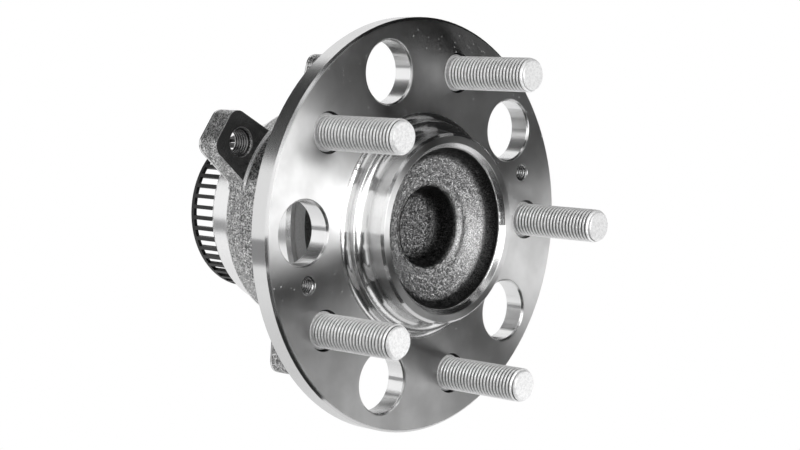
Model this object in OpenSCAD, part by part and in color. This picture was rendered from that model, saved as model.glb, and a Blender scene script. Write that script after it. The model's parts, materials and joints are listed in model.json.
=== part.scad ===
// Wheel hub bearing: a non-driven hub flange on a two-row angular contact ball bearing.
// The rotation axis is Y. The outboard side, where the wheel sits, is -Y, and y = 0 is the
// flange face. Angles round the axis run from +X towards +Z. All sizes are in millimetres.

/* [Hub flange] */
// Outer diameter of the flange
flange_d = 147.4; // [146:0.2:160]
// Thickness of the flange
flange_t = 8.5; // [7:0.1:10.5]
// Chamfer on the flange's front and back edges
flange_chamfer = 1; // [0.5:0.1:1.8]
// Diameter of the neck behind the flange
neck_d = 66; // [62:0.5:69]
// Radius of the forged fillet between the flange and the neck
neck_fillet = 9; // [6:0.5:9.5]

/* [Pilots] */
// Diameter of the wheel pilot
wheel_pilot_d = 67; // [66:0.1:68]
// How far the pilot's rim stands in front of the flange face
pilot_reach = 13.8; // [12:0.1:18]
// Diameter of the brake disc pilot
disc_pilot_d = 75.2; // [74:0.1:80]
// Height of the brake disc pilot above the flange face
disc_pilot_h = 4; // [3.5:0.1:5]
// Radius of the fillet between the flange face and the disc pilot
face_fillet = 2.2; // [1:0.1:2.4]
// Radius of the fillet between the two pilots
pilot_fillet = 3; // [1:0.1:3.4]
// Width across of the flat rim of the pilot
rim_w = 2.3; // [1.5:0.1:3]
// Chamfer outside the rim
rim_chamfer = 1; // [0.5:0.1:1.2]

/* [Forged recess] */
// Chamfer inside the rim
recess_chamfer = 1.4; // [0.8:0.1:1.8]
// Radius in the corner between the recess wall and its floor
recess_corner = 4; // [3:0.1:4.5]
// Slope of the recess floor, in degrees
recess_slope = 28; // [22:1:32]
// Slope of the shelf round the central pocket, in degrees
shelf_slope = 10; // [4:1:16]
// Width of that shelf
shelf_w = 5.3; // [4:0.1:6]
// Diameter of the mouth of the central pocket
pocket_d = 29.4; // [26:0.2:31]
// Radius of the pocket's rounded lip
pocket_lip = 1.6; // [1:0.1:2]
// Draft of the pocket's wall, in degrees
pocket_draft = 15; // [8:1:20]
// Depth of the pocket's bottom behind the flange face
pocket_y = 4.8; // [3:0.1:7]
// Radius round the pocket's bottom
pocket_corner = 3; // [2:0.1:3.5]

/* [Wheel studs] */
// Pitch circle diameter of the wheel studs
wheel_pcd = 114.3; // [113:0.1:116]
// Number of wheel studs
stud_count = 5; // [4:1:5]
// Thread diameter of a stud
stud_d = 12; // [10:0.5:12.5]
// How far a stud stands in front of the flange face
stud_reach = 35.2; // [25:0.1:50]
// Diameter of the serrated shank in the flange
serration_d = 13.2; // [12.8:0.1:13.8]
// Diameter of the head behind the flange
stud_head_d = 18; // [16:0.5:20]
// Thickness of the head
stud_head_h = 4.5; // [3:0.1:6]
// Diameter of the flat countersink round a stud
countersink_d = 14.5; // [14.2:0.1:16]
// Depth of that countersink
countersink_depth = 1.3; // [0.8:0.1:2]
// Chamfer at the stud's tip
stud_tip = 0.9; // [0.5:0.1:1.5]

/* [Flange holes] */
// Diameter of a lightening hole
window_d = 22; // [18:0.2:23]
// Pitch circle diameter of the lightening holes
window_pcd = 114; // [112:0.2:116]
// Chamfer on the edges of a lightening hole
window_chamfer = 0.75; // [0.4:0.05:1.2]
// Thread diameter of a brake disc screw
screw_d = 6; // [5:0.5:8]
// Pitch circle diameter of the two disc screw holes
screw_pcd = 114.3; // [113:0.1:116]
// Chamfer at the mouth of a disc screw hole
screw_chamfer = 0.4; // [0.2:0.1:0.8]

/* [Bearing rows] */
// Distance from the flange face to the outboard row of balls
outboard_row = 37; // [36:0.5:38]
// Distance between the two rows
row_spacing = 20; // [19.5:0.5:22]
// Pitch diameter of the outboard row
outboard_pitch_d = 62; // [61:0.5:63]
// Ball diameter of the outboard row
outboard_ball_d = 12.7; // [12:0.1:13]
// Number of balls in the outboard row
outboard_balls = 13; // [10:1:13]
// Pitch diameter of the inboard row
inboard_pitch_d = 48; // [47.5:0.5:48.5]
// Ball diameter of the inboard row
inboard_ball_d = 11.1; // [10:0.1:11.4]
// Number of balls in the inboard row
inboard_balls = 11; // [8:1:11]
// Running gap between a ball and its races
race_gap = 0.06; // [0.03:0.01:0.1]
// Gap between a ball and its cage pocket
pocket_gap = 0.2; // [0.15:0.05:0.3]
// Radial thickness of a cage
cage_t = 3.4; // [2.5:0.1:3.8]
// Thickness of the cage's ring beside the balls
cage_ring = 1.5; // [1:0.1:2]

/* [Outer ring] */
// Distance from the flange face to the knuckle face
knuckle_face = 59.2; // [58:0.1:64]
// Thickness of the ears
ear_t = 9.7; // [8:0.1:12]
// Diameter of the body
body_d = 84; // [83:0.5:88]
// Distance from the flange face to the body's outboard end
body_start = 24; // [23:0.2:25]
// Draft of the forged body beside the ears
body_draft = 2; // [1:0.2:3]
// Diameter of the pilot that enters the knuckle
knuckle_pilot_d = 70; // [69.6:0.1:74]
// Length of that pilot
knuckle_pilot_l = 14.3; // [13.5:0.1:18]
// Chamfer on the end of the pilot
knuckle_pilot_chamfer = 1.2; // [0.5:0.1:1.5]
// Bore of the outboard end, where the seal sits
seal_bore_d = 76; // [75:0.2:77]
// Bore of the inboard end
inboard_bore_d = 59.4; // [59.3:0.1:60]

/* [Ears] */
// Narrow spacing of the four knuckle bolts
bolt_narrow = 53; // [50:0.5:56]
// Wide spacing of the four knuckle bolts
bolt_wide = 85; // [82:0.5:88]
// Turn of the bolt rectangle from upright, in degrees
knuckle_turn = 24; // [0:1:45]
// Thread diameter of a knuckle bolt
knuckle_bolt_d = 10; // [8:0.5:10.5]
// Chamfer at the mouth of a knuckle bolt hole
knuckle_chamfer = 0.6; // [0.3:0.1:1]
// Distance from the axis to an ear's tip
ear_reach = 59.8; // [58.6:0.1:62]
// Half width of an ear at its bolt hole
ear_half_w = 9.75; // [9:0.05:10.5]
// Taper of an ear's sides, in degrees
ear_taper = 6; // [0:0.5:8]
// Radius of an ear's outer corners
ear_corner = 4.5; // [2:0.1:5]
// Radius of the fillet between an ear and the body
ear_fillet = 6; // [3:0.1:7]

/* [Inner ring and spindle] */
// Diameter of the spindle seat under the inner ring
seat_d = 28; // [26:0.2:29]
// Distance from the flange face to the spindle's shoulder
shoulder_y = 46.2; // [45.6:0.1:46.4]
// Distance from the flange face to the inner ring's end
inner_ring_end = 80; // [79.4:0.1:81]
// Thread diameter of the spindle nut
nut_thread_d = 20; // [18:0.5:22]
// Width across flats of the spindle nut
nut_af = 30; // [28:0.5:32]
// Height of the spindle nut
nut_h = 8.6; // [7:0.1:9]
// Clearance of a press fit
press_gap = 0.01; // [0.005:0.005:0.02]

/* [Seals] */
// Sheet thickness of the seal cases and the slinger
seal_sheet = 1; // [0.8:0.1:1.2]
// Axial width of the outboard seal
outboard_seal_w = 5.6; // [5:0.1:6]
// Radial height of the outboard seal, from its track on the hub to its bore
outboard_seal_h = 9.2; // [8:0.1:9.4]
// Axial width of the inboard seal
inboard_seal_w = 5.4; // [5:0.1:6]
// Gap between a seal lip and the surface it runs on
lip_gap = 0.1; // [0.05:0.05:0.3]
// How far a seal sits inside the end of its bore
seal_inset = 0.6; // [0.4:0.1:1]

/* [Tone ring] */
// Outer diameter of the tone ring
tone_d = 59.6; // [58:0.2:62]
// Distance from the flange face to the tone ring's rim
tone_end = 90.2; // [89:0.1:93]
// Sheet thickness of the tone ring
tone_t = 1.4; // [1:0.1:1.6]
// Number of windows
tone_windows = 46; // [40:1:48]
// Width of a window
tone_window_w = 2.6; // [2:0.1:2.8]
// Length of a window
tone_window_l = 11.3; // [8:0.1:11.6]
// Height of the closed rim beyond the windows
tone_rim = 1.5; // [1.2:0.1:3]
// Gap between the outer ring's end and the tone ring
tone_gap = 1.4; // [0.8:0.1:1.8]
// Length of the sleeve that grips the inner ring
tone_sleeve = 4.5; // [3:0.1:4.6]

/* [Hidden] */
$fn = 96;
LAP = 0.4;             // overlap of pieces that are joined, and run-out of cuts
FINE = 48;             // facets of small round parts
NIP = 0.004;           // overlap where a round runs into a straight side
PILOT_EDGE = 0.4;      // round on the disc pilot's edge
RECESS_DRAFT = 0.5;    // how far the recess wall leans in
RECESS_WALL = 0.9;     // height of that wall
STUD_RELIEF = 0.4;     // plain end of the shank above the countersink's floor
HEAD_EDGE = 0.8;       // chamfer on a stud's head
NECK_GAP = 0.5;        // from the foot of the neck's cone to the outer ring
RING_EDGE = 0.6;       // chamfers on the races' shoulders
SEAT_EDGE = 1;         // chamfer on the spindle's seat
SPINDLE_EDGE = 1.2;    // chamfer on the spindle's end
SPINDLE_SINK = 1.2;    // how far the seat stops inside the inner ring
SPINDLE_PROUD = 1;     // how far the spindle stands out of its nut
SHORT = 0.5;           // how far the turned body stops inside the knuckle face
BODY_EDGE = 1.2;       // chamfer on the outer ring's outboard end
BORE_EDGE = 0.8;       // chamfers at the mouths of its bore
SEAL_GAP = 0.3;        // from the outboard seal to the race's land
SLINGER_GAP = 0.5;     // from the slinger to the outer ring's bore and to the seal's case
LAND_SHARE = 0.7;      // length of a race's cup beyond its row, as a share of the ball
CAGE_SHARE = 0.12;     // how far a cage reaches past its row, as a share of the ball
ROOT_SHARE = 0.8;      // where an ear starts inside the body, as a share of its radius
LEAD_SHARE = 1.6;      // length of the knuckle pilot's lead-in, as a share of its chamfer
WEB_SHARE = 0.5;       // share of a seal's height that its case takes
SEAL_SHOULDER = 7.4;   // depth of the outboard seal's seat
TONE_SHARE = 0.8;      // round on the tone ring's edge, as a share of its sheet
NUT_WASHER = 1.6;      // thickness of the nut's washer face
NUT_COLLAR = 1.8;      // height and wall of the nut's collar
NUT_EDGE = 2;          // chamfer on the hexagon

flange_r = flange_d / 2;
neck_r = neck_d / 2;
wheel_pilot_r = wheel_pilot_d / 2;
disc_pilot_r = disc_pilot_d / 2;
wheel_r = wheel_pcd / 2;
rim_r = wheel_pilot_r - rim_chamfer;
rim_inner_r = rim_r - rim_w;
recess_r = rim_inner_r - recess_chamfer;

inboard_row = outboard_row + row_spacing;
outboard_pitch_r = outboard_pitch_d / 2;
inboard_pitch_r = inboard_pitch_d / 2;
outboard_race_r = outboard_ball_d / 2 + race_gap;
inboard_race_r = inboard_ball_d / 2 + race_gap;
spindle_end = inner_ring_end + nut_h + SPINDLE_PROUD;
RACE_SHARE = 0.4;      // height of a race's high shoulder, as a share of the ball's radius
outboard_land_r = outboard_pitch_r - RACE_SHARE * outboard_ball_d / 2;
inboard_land_r = inboard_pitch_r - RACE_SHARE * inboard_ball_d / 2;
LOW_SHARE = 0.94;      // depth of a race's low shoulder, as a share of the ball's radius
outboard_low_r = outboard_pitch_r - LOW_SHARE * outboard_ball_d / 2;
inboard_low_r = inboard_pitch_r - LOW_SHARE * inboard_ball_d / 2;
CUP_SHARE = 0.5;       // height of the outer ring's shoulders, as a share of the ball's radius
outboard_cup_r = outboard_pitch_r + CUP_SHARE * outboard_ball_d / 2;
inboard_cup_r = inboard_pitch_r + CUP_SHARE * inboard_ball_d / 2;

relief_r = 0.6;        // groove in the corner between the pilot and the knuckle face
body_r = body_d / 2;
knuckle_pilot_r = knuckle_pilot_d / 2;
outer_end = knuckle_face + knuckle_pilot_l;
seal_bore_r = seal_bore_d / 2;
seal_track_r = seal_bore_r - outboard_seal_h;
outboard_web_r = seal_bore_r - WEB_SHARE * outboard_seal_h;
inboard_bore_r = inboard_bore_d / 2;
slinger_r = inboard_land_r + press_gap + seal_sheet;
inboard_web_r = inboard_bore_r - WEB_SHARE * (inboard_bore_r - slinger_r);
inboard_seal_y = outer_end - seal_inset - seal_sheet - SLINGER_GAP - inboard_seal_w;
seat_r = seat_d / 2;
bolt_r = sqrt(pow(bolt_narrow, 2) + pow(bolt_wide, 2)) / 2;
bolt_half_angle = atan(bolt_narrow / bolt_wide);
ear_centre = 90 + knuckle_turn;
EAR_ANGLES = [for (side = [0, 180], turn = [-1, 1]) ear_centre + side + turn * bolt_half_angle];

stud_step = 360 / stud_count;
window_phase = stud_step / 2;
screw_phase = stud_step / 4;
tone_start = outer_end + tone_gap;
tone_r = tone_d / 2;

// Profiles are drawn as (radius, y) and turned about the Y axis.
module turned(facets = $fn) rotate([-90, 0, 0]) rotate_extrude($fn = facets) children();

// Stands a shape that is drawn along Z on a circle about the Y axis, pointing inboard.
module round_axis(angle, r, y = 0) rotate([0, -angle, 0]) translate([r, y, 0]) rotate([-90, 0, 0]) children();

// Fills an inside corner at (r, y); sr and sy point into the open side.
module cove(r, y, rad, sr, sy) {
    translate([r, y]) scale_sign(sr, sy) difference() {
        translate([-LAP, -LAP]) square(rad + LAP);
        translate([rad, rad]) circle(rad);
    }
}

// Cuts an outside corner at (r, y) round; sr and sy point into the solid.
module corner_cut(r, y, rad, sr, sy) {
    translate([r, y]) scale_sign(sr, sy) difference() {
        translate([-LAP, -LAP]) square(rad + LAP);
        translate([rad, rad]) circle(rad);
    }
}

module scale_sign(sr, sy) {
    mirror([sr < 0 ? 1 : 0, 0]) mirror([0, sy < 0 ? 1 : 0]) children();
}

// A straight hole of radius r from y0 to y1 with a chamfer c on both faces.
module chamfered_hole(r, y0, y1, c, facets = FINE) {
    translate([0, 0, y0 - LAP]) cylinder(r = r, h = y1 - y0 + 2 * LAP, $fn = facets);
    translate([0, 0, y0 - LAP]) cylinder(r1 = r + c + LAP, r2 = r, h = c + LAP, $fn = facets);
    translate([0, 0, y1 - c]) cylinder(r1 = r, r2 = r + c + LAP, h = c + LAP, $fn = facets);
}

// The hub: flange, pilots, forged recess, outboard inner race, spindle.
module hub_front_profile() {
    fillet_r = min(face_fillet, disc_pilot_h / 2);
    difference() {
        polygon([
            [0, -pilot_reach], [rim_r, -pilot_reach], [wheel_pilot_r, rim_chamfer - pilot_reach],
            [wheel_pilot_r, -disc_pilot_h], [disc_pilot_r, -disc_pilot_h], [disc_pilot_r, 0],
            [flange_r - flange_chamfer, 0], [flange_r, flange_chamfer],
            [flange_r, flange_t - flange_chamfer], [flange_r - flange_chamfer, flange_t],
            [0, flange_t]]);
        corner_cut(disc_pilot_r, -disc_pilot_h, PILOT_EDGE, -1, 1);
    }
    cove(disc_pilot_r, 0, fillet_r, 1, -1);
    cove(wheel_pilot_r, -disc_pilot_h, pilot_fillet, 1, -1);
}

module hub_back_profile() {
    track_y = body_start - NECK_GAP;
    track_end = body_start + seal_inset + outboard_seal_w + SEAL_GAP;
    neck_end = track_y - neck_r + seal_track_r;
    spindle_r = nut_thread_d / 2;
    spindle_y = inner_ring_end - SPINDLE_SINK;
    translate([0, flange_t - LAP]) square([neck_r, neck_end - flange_t + LAP]);
    cove(neck_r, flange_t, neck_fillet, 1, 1);
    polygon([
        [0, neck_end - LAP], [neck_r, neck_end - LAP], [neck_r, neck_end], [seal_track_r, track_y],
        [seal_track_r, track_end], [outboard_land_r, track_end],
        [outboard_land_r, outboard_row], [outboard_low_r, outboard_row],
        [outboard_low_r, shoulder_y - RING_EDGE], [outboard_low_r - RING_EDGE, shoulder_y],
        [seat_r, shoulder_y], [seat_r, spindle_y - SEAT_EDGE], [seat_r - SEAT_EDGE, spindle_y],
        [spindle_r, spindle_y], [spindle_r, spindle_end - SPINDLE_EDGE],
        [spindle_r - SPINDLE_EDGE, spindle_end], [0, spindle_end]]);
}

// The open space of the recess: a chamfered mouth, a round corner, a sloping floor, a shelf with
// a rounded lip and a pocket.
module recess_profile() {
    wall_r = recess_r - RECESS_DRAFT;
    corner = [wall_r - recess_corner, recess_chamfer + RECESS_WALL - pilot_reach];
    floor_start = corner + recess_corner * [sin(recess_slope), cos(recess_slope)];
    pocket_r = pocket_d / 2;
    shelf_r = pocket_r + shelf_w;
    shelf_y = floor_start[1] + (floor_start[0] - shelf_r) * tan(recess_slope);
    lip = [pocket_r, shelf_y + shelf_w * tan(shelf_slope)];
    base_y = pocket_y - pocket_corner;
    base_r = pocket_r - (base_y - lip[1]) * tan(pocket_draft) - pocket_corner / cos(pocket_draft);
    base_tangent = (pocket_corner - NIP) * [cos(pocket_draft), sin(pocket_draft)];
    polygon([
        [0, -pilot_reach - LAP], [rim_inner_r + LAP, -pilot_reach - LAP],
        [recess_r, recess_chamfer - pilot_reach], [wall_r, corner[1]], floor_start,
        [shelf_r, shelf_y], lip, [base_r, base_y] + base_tangent,
        [base_r, pocket_y - NIP], [0, pocket_y - NIP]]);
    translate(corner) circle(recess_corner);
    translate([base_r, base_y]) circle(pocket_corner);
    rounded_corner(
        lip, [cos(shelf_slope), -sin(shelf_slope)], [-sin(pocket_draft), cos(pocket_draft)], pocket_lip);
}

// What rounding takes off a corner of a solid; a and b point from the corner along its sides.
module rounded_corner(corner, a, b, rad) {
    half = acos(a * b) / 2;
    r = rad - NIP;
    centre = corner + (a + b) / norm(a + b) * r / sin(half);
    difference() {
        polygon([corner, corner + a * r / tan(half), centre, corner + b * r / tan(half)]);
        translate(centre) circle(rad);
    }
}

module hub() {
    color("silver") difference() {
        turned() difference() {
            union() {
                hub_front_profile();
                hub_back_profile();
            }
            recess_profile();
            translate([outboard_pitch_r, outboard_row]) circle(outboard_race_r);
        }
        for (i = [0 : stud_count - 1]) {
            round_axis(i * stud_step, wheel_r) stud_seat();
            round_axis(i * stud_step + window_phase, window_pcd / 2)
                chamfered_hole(window_d / 2, 0, flange_t, window_chamfer, $fn);
        }
        for (turn = [0, 180]) {
            round_axis(screw_phase + turn, screw_pcd / 2)
                chamfered_hole(screw_d / 2, 0, flange_t, screw_chamfer);
        }
    }
}

// The stepped hole that a wheel stud is pressed into.
module stud_seat() {
    cylinder(r = serration_d / 2 + press_gap, h = flange_t + LAP, $fn = FINE);
    translate([0, 0, -LAP]) cylinder(d = countersink_d, h = countersink_depth + LAP, $fn = FINE);
}

// A wheel stud: threaded shank, serrated seat, round head.
module wheel_stud(i) {
    r = stud_d / 2;
    seat = serration_d / 2;
    head = stud_head_d / 2;
    shank_end = countersink_depth - STUD_RELIEF;
    head_y = flange_t + press_gap;
    color("gainsboro") round_axis(i * stud_step, wheel_r) rotate_extrude($fn = FINE) polygon([
        [0, -stud_reach], [r - stud_tip, -stud_reach], [r, stud_tip - stud_reach],
        [r, shank_end], [seat, shank_end + seat - r], [seat, head_y], [head, head_y],
        [head, head_y + stud_head_h - HEAD_EDGE], [head - HEAD_EDGE, head_y + stud_head_h],
        [0, head_y + stud_head_h]]);
}

// The outer ring: one forging with four ears, two outer races and the knuckle pilot.
module body_profile() {
    ear_front = knuckle_face - ear_t;
    edge_y = knuckle_face - SHORT;
    polygon([
        [0, body_start], [body_r - BODY_EDGE, body_start], [body_r, body_start + BODY_EDGE],
        [body_r, ear_front], [body_r - body_draft, edge_y], [knuckle_pilot_r, edge_y],
        [knuckle_pilot_r, outer_end - LEAD_SHARE * knuckle_pilot_chamfer],
        [knuckle_pilot_r - knuckle_pilot_chamfer, outer_end], [0, outer_end]]);
}

// The space inside the outer ring: seal seat, two race grooves and the land between them.
module bore_profile() {
    outboard_open_r = outboard_pitch_r + outboard_race_r;
    land_out = outboard_row + LAND_SHARE * outboard_ball_d;
    land_in = inboard_row - LAND_SHARE * inboard_ball_d;
    polygon([
        [0, body_start - LAP], [seal_bore_r + BORE_EDGE + LAP, body_start - LAP],
        [seal_bore_r, body_start + BORE_EDGE], [seal_bore_r, body_start + SEAL_SHOULDER],
        [outboard_open_r, body_start + SEAL_SHOULDER + seal_bore_r - outboard_open_r],
        [outboard_open_r, outboard_row], [outboard_cup_r, outboard_row],
        [outboard_cup_r, land_out], [inboard_cup_r, land_in],
        [inboard_cup_r, inboard_row], [inboard_bore_r, inboard_row],
        [inboard_bore_r, outer_end - BORE_EDGE], [inboard_bore_r + BORE_EDGE + LAP, outer_end + LAP],
        [0, outer_end + LAP]]);
    translate([outboard_pitch_r, outboard_row]) circle(outboard_race_r);
    translate([inboard_pitch_r, inboard_row]) circle(inboard_race_r);
}

// An ear's outline, with the ear along +X and the bearing's axis at the origin.
module ear_outline(root_r) {
    n = [sin(ear_taper), cos(ear_taper)];
    line_c = bolt_r * n[0] + ear_half_w * n[1];
    tip_r = ear_corner - NIP;
    tip_x = ear_reach - tip_r;
    tip_c = [tip_x, (line_c - tip_r - tip_x * n[0]) / n[1]];
    side = tip_c + tip_r * n;
    root_x = ROOT_SHARE * root_r;
    root_y = (line_c - root_x * n[0]) / n[1];
    fillet_r = ear_fillet - NIP;
    fillet_d = root_r + fillet_r;
    fillet_a = asin((line_c + fillet_r) / fillet_d) - ear_taper;
    fillet_c = fillet_d * [cos(fillet_a), sin(fillet_a)];
    polygon([
        [root_x, -root_y], [side[0], -side[1]], [ear_reach, -tip_c[1]], [ear_reach, tip_c[1]],
        side, [root_x, root_y]]);
    for (flip = [0, 1]) mirror([0, flip]) {
        translate(tip_c) circle(ear_corner);
        difference() {
            polygon([
                [root_x, 0], fillet_c - fillet_r * n, fillet_c, fillet_c * root_r / fillet_d]);
            translate(fillet_c) circle(ear_fillet);
        }
    }
}

module outer_ring() {
    ear_front = knuckle_face - ear_t;
    color("dimgray") difference() {
        union() {
            turned() body_profile();
            round_axis(0, 0, ear_front) linear_extrude(ear_t) {
                circle(body_r - body_draft);
                for (angle = EAR_ANGLES) rotate(-angle) ear_outline(body_r - body_draft);
            }
        }
        turned() {
            bore_profile();
            translate([knuckle_pilot_r, knuckle_face]) circle(relief_r, $fn = 24);
        }
        for (angle = EAR_ANGLES) round_axis(angle, bolt_r)
            chamfered_hole(knuckle_bolt_d / 2, ear_front, knuckle_face, knuckle_chamfer);
    }
}

// The inner ring, pressed on the spindle against its shoulder.
module inner_ring() {
    bore = seat_r + press_gap;
    y0 = shoulder_y + press_gap;
    color("silver") turned() difference() {
        polygon([
            [bore, y0 + RING_EDGE], [bore + RING_EDGE, y0], [inboard_low_r - RING_EDGE, y0],
            [inboard_low_r, y0 + RING_EDGE], [inboard_low_r, inboard_row],
            [inboard_land_r, inboard_row], [inboard_land_r, inner_ring_end - RING_EDGE],
            [inboard_land_r - RING_EDGE, inner_ring_end], [bore + RING_EDGE, inner_ring_end],
            [bore, inner_ring_end - RING_EDGE]]);
        translate([inboard_pitch_r, inboard_row]) circle(inboard_race_r);
    }
}

// A snap cage: a ring beside the balls with a pocket for each. ring_side is 1 for inboard.
module cage(pitch_r, row, ball_d, count, ring_side) {
    far = ball_d / 2 + cage_ring;
    near = CAGE_SHARE * ball_d;
    y0 = ring_side > 0 ? row - near : row - far;
    color("peru") difference() {
        turned() translate([pitch_r - cage_t / 2, y0]) square([cage_t, near + far]);
        for (i = [0 : count - 1]) round_axis(i * 360 / count, pitch_r, row)
            sphere(r = ball_d / 2 + pocket_gap, $fn = FINE);
    }
}

module outboard_cage() cage(outboard_pitch_r, outboard_row, outboard_ball_d, outboard_balls, 1);
module inboard_cage() cage(inboard_pitch_r, inboard_row, inboard_ball_d, inboard_balls, -1);

module ball(pitch_r, row, ball_d, angle) {
    color("whitesmoke") round_axis(angle, pitch_r, row) sphere(d = ball_d, $fn = FINE);
}

// A seal's sheet case: a ring of radius r and width w with a web in to web_r, flat at y0.
module seal_case(web_r, r, y0, w) {
    color("dimgray") turned() polygon([
        [web_r, y0], [r, y0], [r, y0 + w], [r - seal_sheet, y0 + w], [r - seal_sheet, y0 + seal_sheet],
        [web_r, y0 + seal_sheet]]);
}

// A seal's rubber: bonded to the case at web_r, with two lips that run at lip_r.
module seal_lip(web_r, lip_r, y0, w) {
    h = web_r - lip_r;
    color("black") turned() polygon([
        [web_r, y0], [web_r, y0 + 0.32 * w], [lip_r + 0.6 * h, y0 + 0.5 * w], [lip_r, y0 + 0.78 * w],
        [lip_r, y0 + 0.68 * w], [lip_r + 0.3 * h, y0 + 0.28 * w], [lip_r, y0 + 0.1 * w], [lip_r, y0]]);
}

// The outboard seal sits in the outer ring and runs on the hub.
module outboard_seal_case() {
    seal_case(outboard_web_r, seal_bore_r - press_gap, body_start + seal_inset, outboard_seal_w);
}

module outboard_seal_lip() {
    seal_lip(outboard_web_r, seal_track_r + lip_gap, body_start + seal_inset, outboard_seal_w);
}

// The inboard seal sits in the outer ring and runs on a slinger on the inner ring.
module inboard_seal_case() {
    seal_case(inboard_web_r, inboard_bore_r - press_gap, inboard_seal_y, inboard_seal_w);
}

module inboard_seal_lip() seal_lip(inboard_web_r, slinger_r + lip_gap, inboard_seal_y, inboard_seal_w);

module inboard_slinger() {
    y1 = outer_end - seal_inset;
    r = inboard_land_r + press_gap;
    outer = inboard_bore_r - SLINGER_GAP;
    color("lightgray") turned() polygon([
        [r, inboard_seal_y], [slinger_r, inboard_seal_y], [slinger_r, y1 - seal_sheet],
        [outer, y1 - seal_sheet], [outer, y1], [r, y1]]);
}

// The tone ring: a pressed cup with a row of windows, open at its inboard end.
module tone_profile() {
    bore = inboard_land_r + press_gap;
    sleeve_end = tone_start + tone_sleeve;
    difference() {
        polygon([
            [bore, tone_start], [tone_r, tone_start], [tone_r, tone_end],
            [tone_r - tone_t, tone_end], [tone_r - tone_t, tone_start + tone_t],
            [bore + tone_t, tone_start + tone_t], [bore + tone_t, sleeve_end], [bore, sleeve_end]]);
        corner_cut(tone_r, tone_start, TONE_SHARE * tone_t, -1, 1);
    }
}

module tone_window() {
    translate([tone_r - tone_t - LAP, tone_end - tone_rim - tone_window_l, -tone_window_w / 2])
        cube([tone_t + 2 * LAP, tone_window_l, tone_window_w]);
}

module tone_ring() {
    color([0.1, 0.1, 0.1]) difference() {
        turned() tone_profile();
        for (i = [0 : tone_windows - 1]) rotate([0, -i * 360 / tone_windows, 0]) tone_window();
    }
}

// The spindle nut: a flange, a hexagon and a thin collar that is staked to the spindle.
module spindle_nut() {
    y0 = inner_ring_end + press_gap;
    hex_h = nut_h - NUT_COLLAR;
    bore = nut_thread_d / 2 + press_gap;
    color("gray") difference() {
        union() {
            round_axis(0, 0, y0) cylinder(r = nut_af / 2 + NUT_EDGE, h = NUT_WASHER);
            intersection() {
                round_axis(0, 0, y0) cylinder(d = nut_af / cos(30), h = hex_h, $fn = 6);
                turned() polygon([
                    [0, y0], [nut_af, y0], [nut_af, y0 + hex_h - NUT_EDGE],
                    [nut_af / 2 - LAP, y0 + hex_h], [0, y0 + hex_h]]);
            }
            round_axis(0, 0, y0) cylinder(r = bore + NUT_COLLAR, h = nut_h);
        }
        round_axis(0, 0, y0 - LAP) cylinder(r = bore, h = nut_h + 2 * LAP);
    }
}

hub();
inner_ring();
outer_ring();
outboard_cage();
inboard_cage();
for (i = [1 : outboard_balls]) {
    ball(outboard_pitch_r, outboard_row, outboard_ball_d, (i - 1) * 360 / outboard_balls);
}
for (i = [1 : inboard_balls]) {
    ball(inboard_pitch_r, inboard_row, inboard_ball_d, (i - 1) * 360 / inboard_balls);
}
outboard_seal_case();
outboard_seal_lip();
inboard_seal_case();
inboard_seal_lip();
inboard_slinger();
tone_ring();
spindle_nut();
for (i = [1 : stud_count]) {
    wheel_stud(i - 1);
}
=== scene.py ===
"""Dresses a packed wheel hub bearing: threads, finishes, studio and camera."""

import json
import math

import bmesh
import bpy
from mathutils import Matrix, Vector


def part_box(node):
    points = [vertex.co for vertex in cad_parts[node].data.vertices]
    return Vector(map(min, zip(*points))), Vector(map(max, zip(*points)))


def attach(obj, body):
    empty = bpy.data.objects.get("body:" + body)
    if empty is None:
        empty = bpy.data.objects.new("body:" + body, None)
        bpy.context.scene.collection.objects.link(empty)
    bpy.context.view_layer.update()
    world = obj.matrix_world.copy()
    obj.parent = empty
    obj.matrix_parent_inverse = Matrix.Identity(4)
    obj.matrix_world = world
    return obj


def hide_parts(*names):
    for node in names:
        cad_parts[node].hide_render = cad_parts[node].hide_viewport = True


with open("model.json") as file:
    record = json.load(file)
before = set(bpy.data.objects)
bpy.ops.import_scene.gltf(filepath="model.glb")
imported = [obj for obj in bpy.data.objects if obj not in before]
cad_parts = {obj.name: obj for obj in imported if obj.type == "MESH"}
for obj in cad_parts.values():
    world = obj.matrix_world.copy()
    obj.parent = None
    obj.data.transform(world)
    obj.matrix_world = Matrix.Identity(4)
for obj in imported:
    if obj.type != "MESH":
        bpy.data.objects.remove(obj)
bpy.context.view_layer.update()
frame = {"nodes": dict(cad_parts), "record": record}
NODES = frame["nodes"]

bl_info = {
    "name": "Wheel hub bearing",
    "version": (1, 0, 0),
    "blender": (4, 5, 0),
    "location": "View3D > Sidebar > Hub",
    "description": "Threads, finishes and studio for a wheel hub bearing",
    "category": "Object",
}

MM = 0.001
TURN = 2 * math.pi

# Sizes that come from the frame
MOUNTS = {m["name"]: m for m in frame["record"]["mounts"]}
STUD_CIRCLE = MOUNTS["wheel_studs"]["dims"]["pcd_mm"] / 2 * MM
STUD_COUNT = MOUNTS["wheel_studs"]["dims"]["count"]
STUD_RADIUS = MOUNTS["wheel_studs"]["dims"]["stud_r_mm"] * MM
STUD_LOW, STUD_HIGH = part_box("wheel_stud_1")
SCREW = MOUNTS["disc_screw_1"]
EAR_BOLTS = [MOUNTS[f"knuckle_bolt_{i}"] for i in (1, 2)]
EAR_ANGLES = [math.atan2(m["pos_m"][2], m["pos_m"][0]) for m in EAR_BOLTS]

# A wheel stud behind its thread: stations along the bearing's axis, which grow inboard, and a radius
SHANK_END = 0.9 * MM
SERRATION_START = 1.5 * MM
SERRATION_RADIUS = 6.6 * MM
HEAD_SEAT = 8.51 * MM
HEAD_CHAMFER = 0.8 * MM

# Facets round a stud's core, and the sharpest edge of a stud that is shaded smooth
STUD_FACETS = 64
STUD_SMOOTH_DEGREES = 40

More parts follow.
